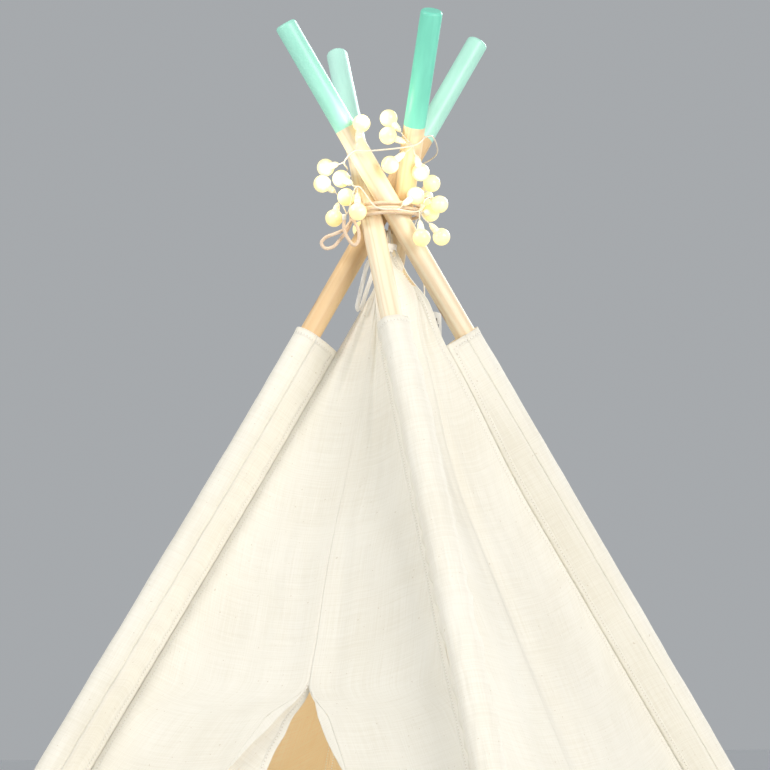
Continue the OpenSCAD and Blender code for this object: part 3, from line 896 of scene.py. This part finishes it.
def make_sleeve(c):
    """The tube of canvas round a pole, and the two layers that run in to the seam."""
    name = CORNERS[c]
    st, down, out, side = axes(c)
    L = np.linspace(SLEEVE_TOP, SLEEVE_END, 170)
    shift_out = bulge(L) if c == 2 else 0 * L
    shift_side = [-0.001, 0.0, 0.001, 0.0045][c] * smooth(L, 0.15, 0.3) * (1 - smooth(L, 1.4, 1.6))
    # the front sleeve is wider and more puckered, as in the photo
    front = c == 3
    r0, strong = (0.0192, 2.6) if front else (0.0175, 1.2)
    phi = np.radians(np.linspace(-114, 114, 41))
    centre = st + L[:, None] * down + shift_out[:, None] * out + shift_side[:, None] * side
    LL, PH = np.meshgrid(L, phi, indexing="ij")
    lump = ripple(PH * 0.02, LL, 70 + c, 6, 18, 60)
    fine = ripple(PH * 0.05 + LL * 0.3, LL, 90 + c, 5, 80, 190)
    near = smooth(np.abs(PH), 0.2, 1.5) if front else smooth(np.abs(PH), 0.7, 2.0)
    uneven = lambda x: 0.4 + 0.6 * smooth(ripple(x, 0 * x, 110 + c, 4, 8, 22), -0.3, 0.7)
    pucker = (np.sin(LL * 170 + 5 * np.sin(LL * 19 + c) + PH * 1.2) ** 3) * uneven(LL)
    rad = r0 + 0.0007 * lump + strong * (0.00035 * fine + 0.0011 * pucker * near)
    rad = rad + 0.0008 * smooth(LL, SLEEVE_TOP + 0.012, SLEEVE_TOP + 0.002)
    rad = np.maximum(rad, 0.0152)
    across = np.cos(PH)[..., None] * out + np.sin(PH)[..., None] * side
    P = off_pole(centre[:, None] + rad[..., None] * across, c)
    N = grid_normals(P, P - centre[:, None])
    u, v = spread(P)
    edge = np.stack([np.minimum(v, v[-1:] - v), u], -1)
    tube_part = thick_sheet("sleeve_cloth_" + name, P, N, np.stack([u, v], -1), edge, CLOTH_MATS)
    body = "pole_" + name
    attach(tube_part, body)
    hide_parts("sleeve_" + name)
    # the two layers in to the seam
    S = seam_at(c, L)
    n = 10
    t = (np.arange(n + 1) / n)[None]
    first = P[:, :1] + (S[:, None] - P[:, :1]) * t[..., None]
    last = S[:, None] + (P[:, -1:] - S[:, None]) * t[..., None]
    LL = np.broadcast_to(L[:, None], (len(L), n + 1))
    push = strong * 0.0014 * np.sin(LL * 170 + 5 * np.sin(LL * 19 + c) - 1.2) * uneven(LL) * np.sin(np.pi * t) ** 0.8
    push2 = strong * 0.0014 * np.sin(LL * 151 + 4 * np.sin(LL * 27 + c)) * np.sin(np.pi * t) ** 0.8
    first = first - (push + 0.0012 * np.sin(np.pi * t))[..., None] * side
    last = last + (push2 + 0.0012 * np.sin(np.pi * t))[..., None] * side
    Q = off_pole(np.concatenate([first, last[:, 1:]], 1), c)
    ref = np.concatenate([np.broadcast_to(-side, first.shape), np.broadcast_to(side, last[:, 1:].shape)], 1)
    N = grid_normals(Q, ref)
    N[:, n] = -out
    u, v = spread(Q)
    to_seam, to_end = np.abs(u - u[:, n:n + 1]), np.minimum(v, v[-1:] - v)
    edge = np.stack([np.minimum(to_seam, to_end), np.where(to_seam < to_end, v, u)], -1)
    fin = thick_sheet("sleeve_seam_" + name, Q, N, np.stack([u, v], -1), edge, CLOTH_MATS)
    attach(fin, body)
    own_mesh(fin)
    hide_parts("sleeve_" + name)


def ribbon(name, line, width_dir, width, replace=None):
    line = spline(line, 0.002)
    t, _, _ = carry(line)
    w = np.broadcast_to(width_dir, line.shape)
    w = w - np.sum(w * t, 1)[:, None] * t
    w /= np.linalg.norm(w, axis=1)[:, None]
    k = np.linspace(-0.5, 0.5, 7)
    s = np.linspace(0, 1, len(line))[:, None]
    n = np.cross(t, w)
    cup = 0.0004 * np.cos(k * 6)[None, :, None] * np.sin(s * 30)[..., None]
    P = line[:, None] + (k * width)[None, :, None] * w[:, None] + cup * n[:, None]
    N = grid_normals(P, np.broadcast_to(n[:, None], P.shape))
    u, v = spread(P)
    edge = np.stack([u * 0 + 1, v], -1)
    o = thick_sheet(name, P, N, np.stack([u, v], -1), edge, [RIBBON] * 3, t=0.0008)
    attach(o, "canopy")
    if replace:
        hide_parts(replace)


def make_ribbons():
    up = np.array([0, 0, 1.0])
    # four ribbons come up out of the gathered top
    for k in range(4):
        a = math.radians(90 * k - 90)
        d = np.array([math.cos(a), math.sin(a), 0])
        side = np.array([-math.sin(a), math.cos(a), 0])
        pts = [d * 7 + up * -64, d * 6.2 + up * -46, d * 5 + up * -28]
        ribbon("apex_ribbon_%d" % k, at_hub(pts), side, 0.006, replace="apex_ties" if k == 0 else None)
    # the gathered top is bound with a turn and a half of ribbon
    a = np.radians(np.linspace(200, 200 + 500, 44))
    pts = [(13.4 * math.cos(t), 13.4 * math.sin(t), -50 - 5 * i / 43) for i, t in enumerate(a)]
    ribbon("apex_binding", at_hub(pts), up, 0.0075)
    # the loose ribbon loop beside the front pole, in millimetres right, up and back in the photo
    back = np.array([0.489, -0.872, 0])
    loop = [PHOTO_RIGHT * x + up * y + back * d for x, y, d in
            ((-8, -58, 20), (-22, -72, 20), (-27, -84, 19), (-32, -104, 18), (-36.5, -122, 18), (-38, -130, 17),
             (-35.5, -134, 15), (-31.5, -127, 13), (-27, -112, 12), (-20, -92, 10), (-16, -80, 8), (-10, -66, 6))]
    ribbon("loose_ribbon_loop", at_hub(loop), PHOTO_RIGHT * 0.9 + up * 0.25, 0.0055)


for side in range(4):
    for hand in (-1, 1):
        make_half(side, hand)
for hand in (-1, 1):
    make_flap(hand)
for c in range(4):
    make_sleeve(c)
make_ribbons()


# ---- floor, light and world
def make_stage():
    me = bpy.data.meshes.new("floor")
    n, radius = 96, 60
    turns = [2 * math.pi * i / n for i in range(n)]
    ring = [(radius * math.cos(a), radius * math.sin(a), 0) for a in turns]
    me.from_pydata(ring, [], [tuple(range(n))])
    floor = bpy.data.objects.new("floor", me)
    bpy.context.scene.collection.objects.link(floor)
    g = Graph("floor", Specular_IOR_Level=0.2)
    p = g.place()
    fine = g.noise(p, 40.0, 4.0)
    # painted light: the floor is lighter further out, from 3 to 30 metres, where the lamps' light doesn't reach
    far = g.ramp(g.vmath("LENGTH", p, (0, 0, 0), out=1), 3.0, 30.0)
    near = g.mix(g.ramp(fine, 0.4, 0.6), lin(214, 215, 215), lin(210, 211, 211))
    me.materials.append(g.end(g.mix(far, near, lin(246, 247, 248)), 0.75, g.bump(fine, 0.1, 0.0005)))
    world = bpy.data.worlds.new("world")
    bpy.context.scene.world = world
    world.use_nodes = True
    sky = world.node_tree.nodes["Background"]
    sky.inputs["Color"].default_value = lin(206, 210, 214)
    sky.inputs["Strength"].default_value = 0.62

    def area(name, pos, target, size, power, color):
        data = bpy.data.lights.new(name, "AREA")
        data.shape, data.size, data.energy, data.color = "DISK", size, power, color
        o = bpy.data.objects.new(name, data)
        o.location = pos
        o.rotation_mode = "QUATERNION"
        o.rotation_quaternion = (Vector(target) - Vector(pos)).to_track_quat("-Z", "Y")
        bpy.context.scene.collection.objects.link(o)

    area("key", (-2.6, -4.2, 3.6), (0, 0, 0.9), 2.2, 140, (1.0, 0.98, 0.95))
    area("fill", (4.4, -2.0, 2.4), (0, 0, 0.8), 2.6, 156, (1.0, 0.97, 0.94))
    area("rim", (0.5, 4.2, 3.4), (0, 0, 1.0), 2.4, 120, (0.95, 0.98, 1.0))
    # the light string's own glow on the cloth and poles round it
    glows = (((-0.045, -0.075, 0.035), 0.10), ((0.075, -0.045, 0.02), 0.10), ((0.02, -0.08, 0.11), 0.08))
    for i, (pos, power) in enumerate(glows):
        data = bpy.data.lights.new("glow%d" % i, "POINT")
        data.energy, data.color, data.shadow_soft_size = power, (1.0, 0.86, 0.60), 0.012
        o = bpy.data.objects.new("glow%d" % i, data)
        o.location = Vector(pos) + Vector((0, 0, HUB))
        bpy.context.scene.collection.objects.link(o)
    bpy.context.scene.view_settings.view_transform = "Standard"


make_stage()
bpy.context.view_layer.update()
